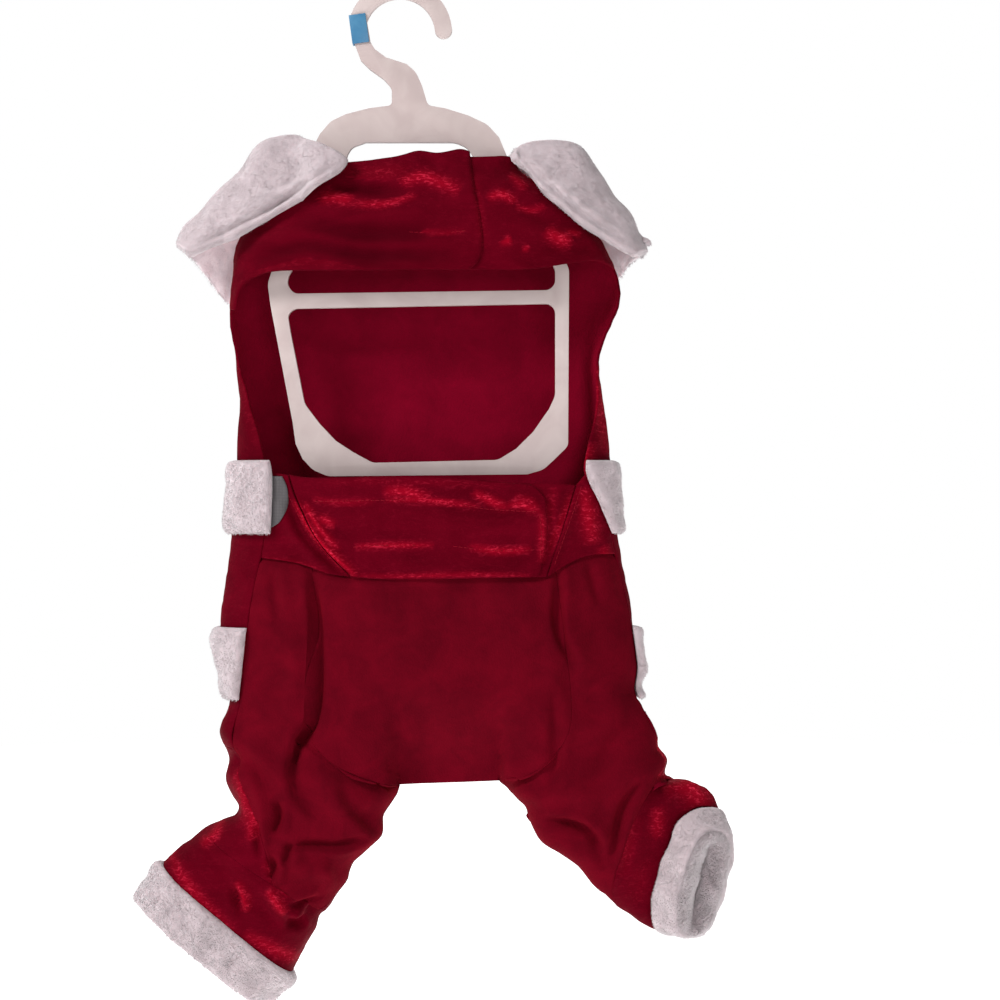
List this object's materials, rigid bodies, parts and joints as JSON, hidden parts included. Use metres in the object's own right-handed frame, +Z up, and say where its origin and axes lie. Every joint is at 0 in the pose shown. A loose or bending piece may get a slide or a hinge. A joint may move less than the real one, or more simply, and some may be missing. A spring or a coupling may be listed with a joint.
{
  "type": "pet santa costume on a hanger",
  "caption": "Red velvet pet Santa suit with plush collar, back bands and leg cuffs, chest and belly straps, hung on a flat plastic hanger.",
  "frame": {"origin": "inner crown of the hanger's hook, where the rail carries it", "axes": "+X to the viewer's right facing the belly side, +Y towards the costume's back, +Z up"},
  "size_m": [0.3331, 0.0647, 0.5649],
  "materials": {
    "velvet": "crushed panne velvet, shiny on its ridges",
    "knit": "matt brushed knit",
    "plush": "short white plush pile",
    "plastic": "moulded polystyrene, satin",
    "marker": "moulded, satin",
    "label": "woven label, plain"
  },
  "bodies": {
    "root": {"belly_panel": "knit", "belly_strap_left": "velvet", "belly_strap_right": "velvet", "boot_left": "velvet", "boot_right": "velvet", "chest_band_left": "velvet", "chest_band_right": "velvet", "coat_back": "velvet", "collar_back": "plush", "collar_front_left": "plush", "collar_front_right": "plush", "cuff_left": "plush", "cuff_right": "plush", "hanger": "plastic", "hem_fur_band": "plush", "leg_back_left": "velvet", "leg_back_right": "velvet", "leg_front_left": "knit", "leg_front_right": "knit", "seat_back": "velvet", "side_label": "label", "side_yoke_left": "velvet", "side_yoke_right": "velvet", "size_marker": "marker", "waist_fur_band": "plush"}
  },
  "joints": []
}
